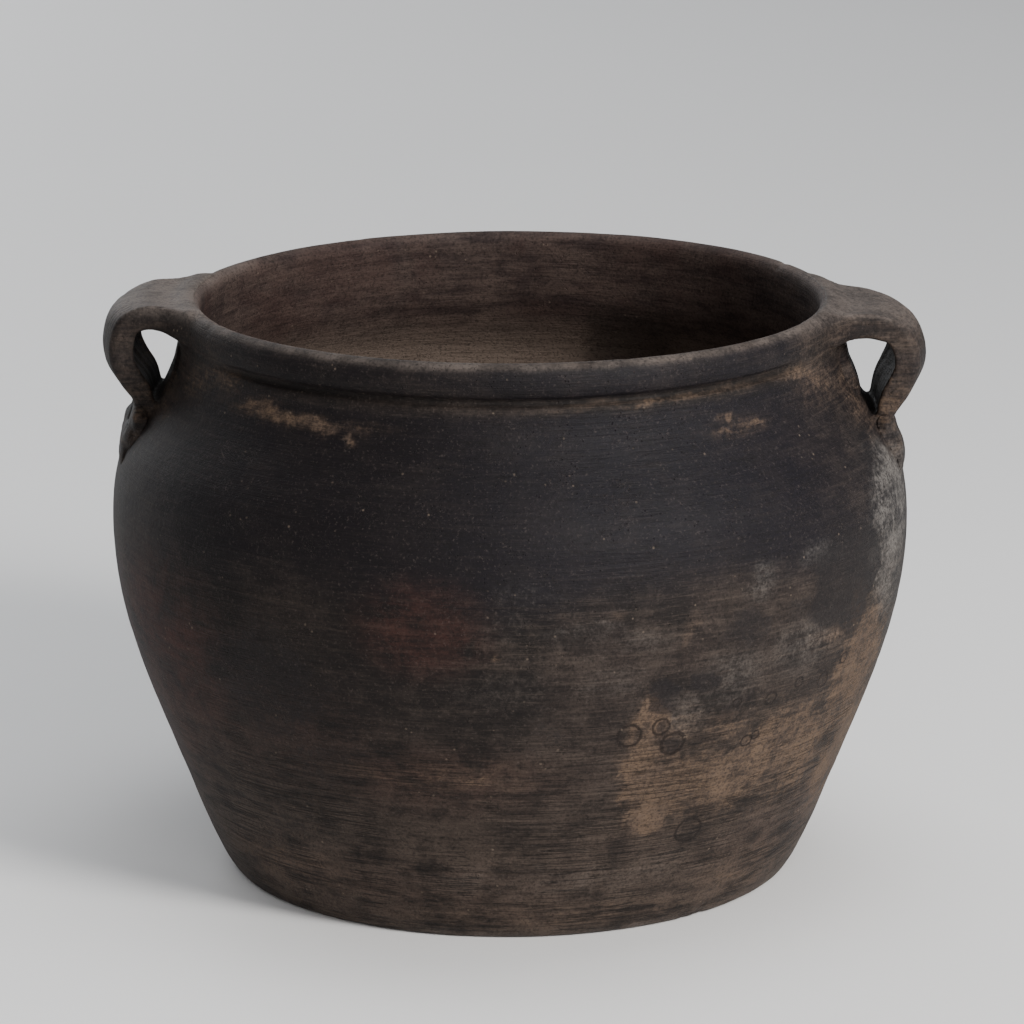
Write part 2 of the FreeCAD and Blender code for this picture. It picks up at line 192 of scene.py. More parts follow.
def polygon_distance(Q):
    a, b = closed[:-1], closed[1:]
    ab = b - a
    l2 = np.maximum((ab ** 2).sum(1), 1e-12)
    best = np.full(len(Q), 1e9)
    inside = np.zeros(len(Q), bool)
    near = (np.maximum(a[:, 1], b[:, 1]) > 100) | (np.abs(ab[:, 1]) > 1e9)
    for k in range(len(a)):
        if near[k]:
            t = np.clip(((Q - a[k]) @ ab[k]) / l2[k], 0, 1)
            best = np.minimum(best, ((Q - a[k] - t[:, None] * ab[k]) ** 2).sum(1))
        cond = (a[k, 1] > Q[:, 1]) != (b[k, 1] > Q[:, 1])
        if cond.any():
            xs = a[k, 0] + (Q[:, 1] - a[k, 1]) * ab[k, 0] / (ab[k, 1] if ab[k, 1] else 1e-9)
            inside ^= cond & (Q[:, 0] < xs)
    return np.sqrt(best) * np.where(inside, -1, 1)


GG = np.stack(np.meshgrid(gr, gz, indexing="ij"), -1).reshape(-1, 2)
SD = polygon_distance(GG).reshape(len(gr), len(gz))


def sd2(r, z):
    x = np.clip((r - gr[0]) / GS, 0, len(gr) - 1.001)
    y = np.clip((z - gz[0]) / GS, 0, len(gz) - 1.001)
    i, j = x.astype(int), y.astype(int)
    fx, fy = x - i, y - j
    return (SD[i, j] * (1 - fx) + SD[i + 1, j] * fx) * (1 - fy) + (SD[i, j + 1] * (1 - fx) + SD[i + 1, j + 1] * fx) * fy


# ------------------------------------------------------- hand-made unevenness, mm
DENTS = []
for _ in range(26):
    DENTS.append((RNG.uniform(-180, 180), RNG.uniform(15, 195), RNG.uniform(9, 26), RNG.uniform(-0.32, 0.22)))
CHIPS = [(40.7, 1.8, 4.5, -0.9), (37.0, 1.2, 3.0, -0.7), (-96, 1.6, 5.0, -0.9), (151, 1.5, 4.0, -0.8), (-31, 1.4, 3.0, -0.5),
         (-64, 216.5, 3.2, -0.5), (21, 217.0, 2.4, -0.35), (118, 217.2, 3.5, -0.6), (-150, 217.0, 3.0, -0.5), (64, 216.6, 2.6, -0.35)]


def azimuth(P):
    return np.degrees(np.arctan2(P[:, 0], -P[:, 1]))


def arc_mm(az, az0, r):
    return ((az - az0 + 180) % 360 - 180) * math.pi / 180 * r


def unevenness(P, inner_side):
    """How far the surface stands proud of the plain cross-section at P (mm)."""
    x, y, z = P[:, 0], P[:, 1], P[:, 2]
    r = np.hypot(x, y)
    az = azimuth(P)
    d = 0.34 * vnoise(P / 85.0, 1) + 0.13 * vnoise(P / 31.0, 2) + 0.06 * vnoise(P / 11.0, 3) + 0.035 * vnoise(P / 4.2, 4)
    zr = z + 1.1 * vnoise(np.stack([x / 70, y / 70, 0 * z + 3], -1), 5) + 0.013 * x
    low = sstep(135, 95, z)
    out_amp = 0.40 + 0.75 * low
    broken = 0.65 + 0.55 * vnoise(np.stack([x / 45, y / 45, z / 9], -1), 8)
    rings_out = (0.115 * noise1(zr / 4.6, 6) + 0.075 * noise1(zr / 2.1, 7)) * out_amp * broken
    rings_in = 0.34 * noise1(zr / 8.5, 9) + 0.13 * noise1(zr / 3.6, 10)
    neck = sstep(199, 203, z)
    rings_out = rings_out * (1 - 0.7 * neck)
    rings_in = rings_in * (1 - 0.85 * sstep(206, 214, z))
    d = d + np.where(inner_side, rings_in, rings_out)
    out = ~inner_side
    # tool-pressed groove low on the front, fading out at both ends
    gz_ = 28.4 + 0.7 * np.sin(np.radians(az * 3.0 + 100)) + 0.25 * vnoise(np.stack([x / 22, y / 22, 0 * z], -1), 11)
    fade = sstep(-24, -12, az) * sstep(52, 40, az)
    d = d - out * fade * 0.42 * np.exp(-((z - gz_) / 0.62) ** 2)
    # softer lines round the lower body
    for zc, depth, wide, a0, a1 in ((20.2, 0.16, 0.9, -70, 75), (37.5, 0.12, 1.2, -90, 20), (44.0, 0.14, 0.9, 5, 100), (61.0, 0.12, 1.3, -60, 50),
                                    (83.0, 0.10, 1.4, 60, 200), (15.0, 0.14, 0.9, 120, 250), (55.0, 0.14, 1.1, 150, 290), (112.0, 0.10, 1.5, -60, 60),
                                    (152.0, 0.13, 1.3, -10, 62), (136.0, 0.10, 1.2, -80, -20)):
        mid, half = (a0 + a1) / 2, (a1 - a0) / 2
        f = sstep(half, half * 0.6, np.abs((az - mid + 180) % 360 - 180))
        zz = zc + 0.9 * vnoise(np.stack([x / 50, y / 50, 0 * z + zc], -1), 12)
        d = d - out * f * depth * np.exp(-((z - zz) / wide) ** 2)
    for az0, z0, size, depth in DENTS:
        q = (arc_mm(az, az0, r) ** 2 + (z - z0) ** 2) / size ** 2
        d = d + out * depth * np.exp(-q * 1.6)
    for az0, z0, size, depth in CHIPS:
        q = (arc_mm(az, az0, r) ** 2 + (z - z0) ** 2) / size ** 2
        d = d + depth * np.exp(-q * 2.2) * (0.7 + 0.6 * vnoise(P / 1.6, 13)) * (out | (z > 210))
    return d * np.where((z < 0.6) & (r < 104), 0.0, 1.0)


# ------------------------------------------------------------- the turned grid
AZ = np.arange(NA) * 2 * math.pi / NA
S_, C_ = np.sin(AZ), np.cos(AZ)
base = np.zeros((NROW, NA, 3))
base[..., 0] = PR[:, None] * S_
base[..., 1] = -PR[:, None] * C_
base[..., 2] = PZ[:, None]
nrm = np.zeros_like(base)
nrm[..., 0] = NR[:, None] * S_
nrm[..., 1] = -NR[:, None] * C_
nrm[..., 2] = NZ[:, None]
inner_flag = np.repeat(~OUTSIDE, NA)
flat = base.reshape(-1, 3)
disp = unevenness(flat, inner_flag)
GRID = (flat + nrm.reshape(-1, 3) * disp[:, None]).reshape(NROW, NA, 3)
GRID[..., 2] = np.maximum(GRID[..., 2], 0.0)
# the handle roots are smoothed over the groove under the collar
ROOT = sstep(38, 27, np.abs(np.abs(np.degrees(np.arctan2(S_, C_))) - 90))
in_groove = OUTSIDE & (PZ > 199.5) & (PZ < 209.5) & (PR > 119)
fill = np.where(in_groove, np.maximum(124.0 - PR, 0), 0.0)[:, None] * ROOT[None, :]
GRID[..., 0] += fill * S_
GRID[..., 1] -= fill * C_
di = np.roll(GRID, -1, 1) - np.roll(GRID, 1, 1)
dj = np.zeros_like(GRID)
dj[1:-1] = GRID[2:] - GRID[:-2]
dj[0], dj[-1] = GRID[1] - GRID[0], GRID[-1] - GRID[-2]
GN = np.cross(dj, di)
GN *= np.sign((GN * nrm).sum(-1, keepdims=True) + 1e-12)
GN /= np.linalg.norm(GN, axis=-1, keepdims=True) + 1e-12


# ------------------------------------------------------ stains and wear (masks)
def blob(az, z, r, az0, z0, ra, rz, soft=0.5, tilt=0.0):
    """1 inside an ellipse laid on the wall, 0 outside. ra, rz are mm."""
    a = arc_mm(az, az0, r)
    b = z - z0
    c, s = math.cos(math.radians(tilt)), math.sin(math.radians(tilt))
    q = np.hypot((a * c + b * s) / ra, (-a * s + b * c) / rz)
    return sstep(1 + soft, 1 - soft, q)


OCHRE = [  # az, z, half-length mm, half-height mm, strength, softness, tilt
    (22.5, 66, 14, 24, 0.92, 0.22, 4), (33, 60, 30, 17, 0.74, 0.5, -8), (48, 66, 34, 22, 0.72, 0.5, -12), (20.5, 88, 8, 16, 0.80, 0.3, 0), (30, 84, 22, 9, 0.55, 0.5, -10),
    (64, 88, 26, 30, 0.86, 0.55, 0), (72, 60, 36, 30, 0.82, 0.6, 0), (56, 110, 22, 4.5, 0.66, 0.5, 4), (60, 118, 10, 8, 0.5, 0.6, 0),
    (31, 203.2, 46, 1.5, 0.62, 0.5, 1), (42, 205.0, 22, 1.5, 0.45, 0.5, 0), (-36, 193.3, 32, 2.4, 0.80, 0.6, 1), (-45, 195.2, 14, 3.0, 0.72, 0.6, 3),
    (-26.2, 190.2, 3.2, 2.2, 0.9, 0.4, 0), (37.6, 193.6, 3.0, 1.8, 0.8, 0.4, 0), (45, 189.6, 2.6, 1.6, 0.8, 0.4, 0), (40, 190.0, 13, 3.4, 0.55, 0.6, 0),
    (66, 196, 22, 9, 0.50, 0.7, -14), (78, 184, 15, 15, 0.52, 0.7, 0), (58, 202.5, 12, 3.4, 0.60, 0.6, 0), (84, 168, 17, 11, 0.46, 0.7, 0),
    (-66, 196.5, 26, 6.5, 0.52, 0.7, 8), (-79, 186, 14, 13, 0.50, 0.7, 0), (-88, 166, 15, 12, 0.48, 0.7, 0), (-56, 201.5, 14, 3.0, 0.6, 0.5, 0),
    (-11, 69, 38, 4.0, 0.50, 0.6, 0), (-6, 75, 20, 3.0, 0.42, 0.6, 0), (-45, 22, 30, 8, 0.40, 0.6, 0), (10, 10, 50, 5, 0.36, 0.6, 0), (52, 18, 30, 11, 0.46, 0.6, 0),
    (-2, 119, 2.2, 1.4, 0.8, 0.4, 0), (14, 132, 3.0, 1.5, 0.5, 0.5, 0), (25, 124, 2.0, 6.5, 0.45, 0.5, 0),
    # round the back
    (118, 76, 34, 26, 0.66, 0.55, 8), (142, 48, 44, 16, 0.62, 0.5, -6), (203, 92, 24, 20, 0.60, 0.5, 5), (236, 55, 36, 18, 0.55, 0.55, 0), (168, 120, 18, 7, 0.5, 0.6, 0),
    (126, 203.8, 40, 1.6, 0.8, 0.5, 0), (190, 203.6, 30, 1.6, 0.7, 0.5, 0), (240, 204.2, 26, 1.8, 0.75, 0.5, 0), (105, 192, 20, 7, 0.66, 0.6, 0), (255, 193, 22, 7, 0.66, 0.6, 0),
    (176, 191, 26, 3.0, 0.6, 0.6, 0), (222, 189, 9, 2.2, 0.6, 0.5, 0), (98, 130, 30, 30, 0.55, 0.6, 0), (262, 110, 22, 30, 0.42, 0.6, 0),
]
BLOOM = [
    (73, 147, 26, 23, 1.0, 0.35, 0), (70, 124, 20, 16, 0.80, 0.55, 0), (81, 158, 20, 12, 0.60, 0.6, 0), (64.5, 134, 7, 20, 0.80, 0.5, 0),
    (10, 127, 16, 4.5, 0.46, 0.6, 3), (2, 141, 14, 6, 0.30, 0.7, 0), (-1, 131, 10, 7, 0.26, 0.7, 0), (17, 122, 18, 6, 0.36, 0.7, 0), (38, 139, 8, 9, 0.52, 0.6, 0),
    (49, 143, 12, 6, 0.48, 0.6, -8), (47, 110, 22, 12, 0.50, 0.7, 0), (33, 104, 14, 12, 0.46, 0.7, 0), (26, 92, 10, 10, 0.44, 0.7, 0), (14, 108, 14, 6, 0.34, 0.7, 0),
    (-1, 105, 20, 8, 0.26, 0.7, 0), (6, 26, 60, 8, 0.30, 0.7, 0), (-78, 120, 20, 26, 0.22, 0.7, 0), (88, 95, 30, 30, 0.42, 0.7, 0),
    (110, 150, 34, 20, 0.66, 0.6, 0), (131, 118, 18, 14, 0.5, 0.6, 0), (156, 146, 24, 9, 0.42, 0.7, 0), (188, 128, 18, 12, 0.46, 0.7, 0), (214, 66, 26, 16, 0.46, 0.7, 0),
    (246, 138, 26, 16, 0.36, 0.7, 0), (172, 72, 22, 12, 0.40, 0.7, 0), (272, 70, 20, 20, 0.3, 0.7, 0),
]
REDDISH = [
    (-62, 100, 46, 34, 0.95, 0.6, 0), (-70, 66, 34, 22, 0.90, 0.6, 0), (-12, 128, 22, 16, 0.80, 0.55, 0), (-40, 80, 40, 22, 0.40, 0.7, 0), (-12, 68, 40, 12, 0.5, 0.7, 0),
    (-25, 20, 60, 12, 0.4, 0.7, 0), (60, 30, 40, 14, 0.4, 0.7, 0), (150, 100, 40, 30, 0.6, 0.6, 0), (225, 112, 40, 24, 0.7, 0.6, 0), (190, 40, 50, 18, 0.5, 0.7, 0),
]
STAIN = [  # soot-dark
    (53, 131, 19, 17, 0.95, 0.35, 0), (35, 122, 13, 9, 0.62, 0.5, 0), (22, 101, 6.5, 9, 0.80, 0.45, 10), (27.5, 104, 6, 6, 0.72, 0.45, 0), (24.5, 80.5, 5.5, 4.2, 0.85, 0.4, 0),
    (22.2, 86.5, 2.6, 6.0, 0.70, 0.45, 14), (17.4, 85.6, 2.6, 2.6, 0.45, 0.5, 0), (-38, 100, 34, 26, 0.62, 0.6, 0), (-30, 70, 26, 16, 0.45, 0.6, 0), (4, 92, 26, 14, 0.40, 0.7, 0),
    (31, 42, 5.5, 5.0, 0.5, 0.4, 0), (57, 118, 9, 12, 0.85, 0.3, 0), (61, 134, 9, 15, 0.85, 0.25, 0), (44, 124, 9, 6, 0.5, 0.5, 0), (138, 142, 22, 12, 0.7, 0.5, 0), (200, 110, 16, 10, 0.6, 0.5, 0), (235, 84, 24, 20, 0.5, 0.6, 0),
    (120, 104, 12, 9, 0.6, 0.5, 0), (165, 84, 14, 8, 0.5, 0.5, 0),
]


def gather(az, z, r, table):
    out = np.zeros(len(z))
    for az0, z0, ra, rz, k, soft, tilt in table:
        out = np.maximum(out, k * blob(az, z, r, az0, z0, ra, rz, soft, tilt))
    return out


def masks(P, inner_side, extra=None):
    """Named per-vertex masks, all 0 to 1."""
    x, y, z = P[:, 0], P[:, 1], P[:, 2]
    r = np.hypot(x, y)
    az = azimuth(P)
    out = (~inner_side).astype(float)
    wob = np.stack([x, y, z * 1.4], -1)
    azw = az + 1.6 * vnoise(wob / 9.0, 21) + 0.7 * vnoise(wob / 3.7, 22)
    zw = z + 1.7 * vnoise(wob / 11.0, 23) + 0.8 * vnoise(wob / 3.5, 24)
    m = {}
    m["ochre"] = gather(azw, zw, r, OCHRE) * out
    m["bloom"] = gather(azw, zw, r, BLOOM) * out
    m["reddish"] = gather(az, z, r, REDDISH) * out
    m["stain"] = gather(azw, zw, r, STAIN) * out
    # smoother, bluer band over the shoulder and belly
    band = sstep(128, 150, z + 6 * vnoise(wob / 40.0, 25)) * sstep(203, 198, z) * (0.45 + 0.55 * sstep(75, 45, np.abs(az + 2)))
    root = sstep(38, 26, np.abs(np.abs(az) - 90))
    collar = sstep(204.6, 206.2, z) * sstep(217.4, 215.6, z) * 0.85 * (1 - 0.8 * root)
    m["band"] = np.maximum(band, collar) * out
    m["inside"] = 1 - out
    crest = np.exp(-((z - 217.6) / 1.5) ** 2) * (np.abs(r - 119.5) < 6)
    m["wear_and_top_light"] = crest * (0.62 + 0.45 * vnoise(P / 7.0, 26)) * (r > 114) * (1 - 0.80 * sstep(-20, 60, y)) * 0.62
    m["wear_and_top_light"] = np.maximum(m["wear_and_top_light"], 0.75 * root * np.exp(-((z - 219) / 3.6) ** 2) * (r > 116) * (0.85 + 0.25 * vnoise(P / 9.0, 30)))
    m["ochre"] = np.maximum(m["ochre"], 0.24 * root * sstep(196, 202, z) * sstep(216, 210, z) * out)
    edge = np.exp(-((z - 1.2) / 1.6) ** 2) * out * (r > 100)
    m["wear_and_top_light"] = np.maximum(m["wear_and_top_light"], 0.6 * edge * (0.5 + 0.5 * vnoise(P / 9.0, 27)))
    # painted shade in the groove under the collar, faded where the handle roots fill it
    m["crease_shade"] = np.exp(-((z - 204.2) / 1.35) ** 2) * out * (0.80 + 0.2 * vnoise(P / 12.0, 28)) * (1 - 0.9 * sstep(38, 28, np.abs(np.abs(az) - 90)))
    calm = 0.85 * sstep(16, -22, az) * sstep(-120, -100, az) * (0.35 + 0.65 * sstep(28, 62, z))
    m["calm"] = np.maximum(calm, 0.5 * (np.abs(az) > 100) * sstep(-0.2, 0.4, vnoise(P / 60.0, 29))) * out
    if extra:
        for k, v in extra.items():
            m[k] = np.maximum(m[k], v) if k != "crease_shade" else np.maximum(m[k], v)
    return {k: np.clip(v, 0, 1) for k, v in m.items()}


# ------------------------------------------------------------------ mesh making
MASK_NAMES = ["ochre", "bloom", "reddish", "stain", "band", "calm", "inside", "wear_and_top_light", "crease_shade"]


def make_piece(name, verts, faces, normals, attrs, material):
    """verts in mm."""
    mesh = bpy.data.meshes.new(name)
    v = np.asarray(verts, float) * MM
    f4 = np.asarray([f for f in faces if len(f) == 4], np.int32) if isinstance(faces, list) else np.asarray(faces, np.int32)
    f3 = np.asarray([f for f in faces if len(f) == 3], np.int32) if isinstance(faces, list) else np.zeros((0, 3), np.int32)
    # outward faces: signed volume
    vol = 0.0
    for F in (f4, f3):
        if len(F):
            vol += np.einsum("ij,ij->i", v[F[:, 0]], np.cross(v[F[:, 1]], v[F[:, 2]])).sum()
            if F.shape[1] == 4:
                vol += np.einsum("ij,ij->i", v[F[:, 0]], np.cross(v[F[:, 2]], v[F[:, 3]])).sum()
    if vol < 0:
        f4, f3 = f4[:, ::-1], f3[:, ::-1]
    loops = np.concatenate([f4.ravel(), f3.ravel()]) if len(f3) else f4.ravel()
    sizes = np.concatenate([np.full(len(f4), 4), np.full(len(f3), 3)])
    starts = np.concatenate([[0], np.cumsum(sizes)[:-1]])
    mesh.vertices.add(len(v))
    mesh.vertices.foreach_set("co", v.astype(np.float32).ravel())
    mesh.loops.add(len(loops))
    mesh.loops.foreach_set("vertex_index", loops.astype(np.int32))
    mesh.polygons.add(len(sizes))
    mesh.polygons.foreach_set("loop_start", starts.astype(np.int32))
    mesh.update(calc_edges=True)
    mesh.validate(verbose=False)
    mesh.polygons.foreach_set("use_smooth", np.ones(len(mesh.polygons), bool))
    if normals is not None:
        mesh.normals_split_custom_set_from_vertices([tuple(n) for n in normals])
    for key in MASK_NAMES:
        a = mesh.attributes.new(key, "FLOAT", "POINT")
        a.data.foreach_set("value", attrs[key].astype(np.float32))
    mesh.materials.append(material)
    obj = bpy.data.objects.new(name, mesh)
    bpy.context.scene.collection.objects.link(obj)
    return obj


# ----------------------------------------------------------------- node helpers
class Tree:
    def __init__(self, material):
        material.use_nodes = True
        self.nt = material.node_tree
        self.nt.nodes.clear()

    def add(self, kind, **props):
        n = self.nt.nodes.new(kind)
        for k, v in props.items():
            setattr(n, k, v)
        return n

    def put(self, socket, value):
        if isinstance(value, bpy.types.NodeSocket):
            self.nt.links.new(value, socket)
        elif value is not None:
            socket.default_value = value

    def math(self, op, a, b=None, c=None, clamp=False):
        n = self.add("ShaderNodeMath", operation=op, use_clamp=clamp)
        self.put(n.inputs[0], a)
        if b is not None:
            self.put(n.inputs[1], b)
        if c is not None:
            self.put(n.inputs[2], c)
        return n.outputs[0]

    def vec(self, op, a, b=None, scale=None):
        n = self.add("ShaderNodeVectorMath", operation=op)
        self.put(n.inputs[0], a)
        if b is not None:
            self.put(n.inputs[1], b)
        if scale is not None:
            self.put(n.inputs[3], scale)
        return n.outputs["Value"] if op in ("LENGTH", "DISTANCE", "DOT_PRODUCT") else n.outputs[0]

    def noise(self, vector, scale, detail=4.0, rough=0.55, distort=0.0):
        n = self.add("ShaderNodeTexNoise")
        self.put(n.inputs["Vector"], vector)
        n.inputs["Scale"].default_value = scale
        n.inputs["Detail"].default_value = detail
        n.inputs["Roughness"].default_value = rough
        n.inputs["Distortion"].default_value = distort
        return n.outputs["Fac"]

    def voronoi(self, vector, scale, feature="F1", rand=1.0):
        n = self.add("ShaderNodeTexVoronoi", feature=feature)
        self.put(n.inputs["Vector"], vector)
        n.inputs["Scale"].default_value = scale
        n.inputs["Randomness"].default_value = rand
        return n.outputs["Distance"]

    def step(self, x, a, b):
        """Smooth 0 to 1 as x goes from a to b."""
        n = self.add("ShaderNodeMapRange", interpolation_type="SMOOTHSTEP", clamp=True)
        self.put(n.inputs["Value"], x)
        n.inputs["From Min"].default_value = a
        n.inputs["From Max"].default_value = b
        n.inputs["To Min"].default_value = 0.0
        n.inputs["To Max"].default_value = 1.0
        return n.outputs["Result"]

    def mix(self, fac, a, b, mode="MIX"):
        n = self.add("ShaderNodeMix", data_type="RGBA", blend_type=mode, clamp_factor=True)
        self.put(n.inputs[0], fac)
        self.put(n.inputs[6], a)
        self.put(n.inputs[7], b)
        return n.outputs[2]

    def attr(self, name):
        n = self.add("ShaderNodeAttribute", attribute_type="GEOMETRY")
        n.attribute_name = name
        return n.outputs["Fac"]


def lin(r, g, b):
    def f(c):
        c /= 255.0
        return c / 12.92 if c <= 0.04045 else ((c + 0.055) / 1.055) ** 2.4
    return (f(r), f(g), f(b), 1.0)


def az_point(az, z, r):
    a = math.radians(az)
    return (r * math.sin(a) * MM, -r * math.cos(a) * MM, z * MM)


def clay_material(name):
    mat = bpy.data.materials.new(name)
    t = Tree(mat)
    co = t.add("ShaderNodeTexCoord").outputs["Object"]
    P = t.vec("SCALE", co, scale=1000.0)                     # millimetres
    # stretched round the pot: fine along Z, long across it
    band = t.vec("MULTIPLY", P, (0.17, 0.17, 1.0))
    streak = t.vec("MULTIPLY", P, (0.045, 0.045, 1.0))

    big = t.noise(P, 0.017, 4.0, 0.58, 0.7)
    mid = t.noise(P, 0.070, 7.0, 0.66, 0.6)
    small = t.noise(P, 0.40, 6.0, 0.68, 0.3)
    grain = t.noise(P, 0.95, 4.0, 0.68)
    rubs = t.noise(band, 0.26, 7.0, 0.68, 0.5)
    lines = t.noise(streak, 0.80, 5.0, 0.62, 0.2)
    hair = t.noise(streak, 3.0, 3.0, 0.58, 0.1)

    a_ochre, a_bloom, a_red, a_stain = t.attr("ochre"), t.attr("bloom"), t.attr("reddish"), t.attr("stain")
    a_band, a_in, a_wear_and_top_light, a_crease_shade = t.attr("band"), t.attr("inside"), t.attr("wear_and_top_light"), t.attr("crease_shade")
    a_calm = t.attr("calm")
    sep = t.add("ShaderNodeSeparateXYZ")
    t.put(sep.inputs[0], P)
    z = sep.outputs[2]
    open_ = t.math("SUBTRACT", 1.0, t.math("MAXIMUM", t.math("MAXIMUM", t.math("MULTIPLY", a_band, 0.84), t.math("MULTIPLY", a_calm, 0.72)), t.math("MULTIPLY", a_red, 0.85)))     # how much wear shows: little on the smooth band

    def blend(*pairs):
        total = None
        for socket, weight in pairs:
            w = t.math("MULTIPLY", socket, weight)
            total = w if total is None else t.math("ADD", total, w)
        return total

    # smoke-black ground, from cold black to brown black
    ground = t.mix(t.step(blend((big, 0.6), (mid, 0.4)), 0.40, 0.60), lin(25, 21, 20), lin(41, 34, 31))
    ground = t.mix(t.math("MULTIPLY", a_band, 0.90), ground, lin(17, 15, 21))
    ground = t.mix(t.math("MULTIPLY", a_calm, 0.60), ground, lin(17, 12, 11))
    red_fac = t.math("MULTIPLY", a_red, t.step(blend((mid, 0.6), (rubs, 0.4)), 0.36, 0.64), clamp=True)
    ground = t.mix(t.math("MULTIPLY", red_fac, 0.90), ground, lin(58, 31, 26))
    # paler toward the foot, where the smoke took less
    low = t.step(z, 108.0, 10.0)
    ground = t.mix(t.math("MULTIPLY", low, t.math("MULTIPLY", t.step(blend((mid, 0.5), (rubs, 0.5)), 0.32, 0.58), 0.62)), ground, lin(78, 66, 58))
    # dry clouds and lines left by turning and rubbing
    cloud = t.step(blend((mid, 0.45), (rubs, 0.30), (small, 0.25)), 0.455, 0.60)
    ground = t.mix(t.math("MULTIPLY", t.math("MULTIPLY", cloud, open_), 0.36), ground, lin(70, 61, 55))
    dry = t.step(blend((lines, 0.5), (hair, 0.3), (rubs, 0.2)), 0.49, 0.63)
    ground = t.mix(t.math("MULTIPLY", t.math("MULTIPLY", dry, open_), 0.34), ground, lin(82, 71, 63))
    deep = t.step(blend((lines, 0.45), (small, 0.35), (rubs, 0.2)), 0.49, 0.37)
    ground = t.mix(t.math("MULTIPLY", deep, 0.50), ground, lin(17, 14, 13))

    # fine dark lines cut by grit under the potter's rib, more of them low down
    cut = t.noise(t.vec("MULTIPLY", P, (0.016, 0.016, 0.62)), 1.0, 3.0, 0.55, 0.15)
    cut2 = t.noise(t.vec("ADD", t.vec("MULTIPLY", P, (0.011, 0.011, 0.34)), (5.0, 9.0, 3.0)), 1.0, 2.0, 0.5, 0.1)
    rib = t.math("MAXIMUM", t.step(t.math("ABSOLUTE", t.math("SUBTRACT", cut, 0.5)), 0.028, 0.006), t.step(t.math("ABSOLUTE", t.math("SUBTRACT", cut2, 0.47)), 0.018, 0.004))
    rib = t.math("MULTIPLY", rib, t.math("ADD", 0.25, t.math("MULTIPLY", t.step(z, 110.0, 50.0), 0.75)))
    rib = t.math("MULTIPLY", rib, t.step(t.noise(P, 0.045, 3.0, 0.6), 0.38, 0.56))
    # tan clay where the black has worn away: soft broken edges, streaked across
    n1 = t.math("SUBTRACT", blend((small, 0.40), (rubs, 0.40), (mid, 0.35), (lines, 0.15)), 0.65)
    o = t.step(t.math("ADD", a_ochre, t.math("MULTIPLY", n1, 2.3)), 0.34, 0.92)
    o = t.math("MULTIPLY", o, t.step(a_ochre, 0.03, 0.25))
    veil = t.math("MULTIPLY", a_ochre, t.step(blend((rubs, 0.5), (lines, 0.25), (small, 0.25)), 0.40, 0.60))
    o = t.math("MAXIMUM", t.math("MULTIPLY", o, 0.88), t.math("MULTIPLY", veil, 0.80))
    o = t.math("MULTIPLY", o, t.math("ADD", 0.45, t.math("MULTIPLY", t.step(blend((small, 0.5), (hair, 0.5)), 0.38, 0.56), 0.55)))
    tan_c = t.mix(t.step(mid, 0.36, 0.64), lin(91, 76, 65), lin(105, 86, 70))
    col = t.mix(t.math("MULTIPLY", o, 0.78), ground, tan_c)

    col = t.mix(t.math("MULTIPLY", rib, 0.74), col, lin(21, 17, 16))
    # grey bloom: thin, cloudy, in flecks
    n2 = t.step(blend((small, 0.40), (mid, 0.40), (rubs, 0.20)), 0.40, 0.60)
    b = t.math("MULTIPLY", t.math("MULTIPLY", a_bloom, a_bloom), t.math("ADD", 0.06, t.math("MULTIPLY", n2, 1.20)), clamp=True)
    b = t.math("MULTIPLY", b, t.math("ADD", 0.45, t.math("MULTIPLY", t.step(grain, 0.36, 0.60), 0.55)))
    col = t.mix(t.math("MULTIPLY", b, 0.70), col, lin(112, 108, 104))

    # soot stains on top
    n3 = t.math("SUBTRACT", blend((small, 0.6), (mid, 0.5)), 0.55)
    s = t.step(t.math("ADD", a_stain, t.math("MULTIPLY", n3, 1.6)), 0.36, 0.74)
    s = t.math("MULTIPLY", s, t.step(a_stain, 0.03, 0.2))
    col = t.mix(t.math("MULTIPLY", s, 0.74), col, lin(27, 24, 25))

    # drip rings: thin outlines of dried drops
    ring = None
    for az0, z0, r0, rad, wide in ((17.4, 85.6, 142.0, 4.4, 0.6), (24.5, 80.5, 140.3, 4.6, 0.7), (22.2, 88.0, 142.8, 3.2, 0.55), (38.0, 75.9, 138.7, 2.4, 0.45), (39.6, 77.6, 139.3, 1.7, 0.4), (41.0, 91.6, 143.8, 2.6, 0.5),
                                   (46.5, 95.0, 144.8, 2.0, 0.4), (52.5, 92.5, 144.1, 3.0, 0.5), (57.0, 98.5, 145.6, 2.2, 0.45), (31.0, 41.5, 125.6, 5.2, 0.6),
                                   (34.5, 93.0, 144.2, 1.8, 0.4), (150.0, 96.0, 145.0, 3.6, 0.55), (162.0, 88.0, 142.8, 2.2, 0.45), (214.0, 82.0, 141.0, 3.2, 0.5)):
        c = az_point(az0, z0, r0)
        d = t.vec("DISTANCE", P, (c[0] * 1000, c[1] * 1000, c[2] * 1000))
        d = t.math("ADD", d, t.math("MULTIPLY", t.math("SUBTRACT", small, 0.5), 2.2))
        e = t.step(t.math("ABSOLUTE", t.math("SUBTRACT", d, rad)), wide * 1.5, wide * 0.4)
        ring = e if ring is None else t.math("MAXIMUM", ring, e)
    col = t.mix(t.math("MULTIPLY", ring, 0.80), col, lin(27, 21, 19))
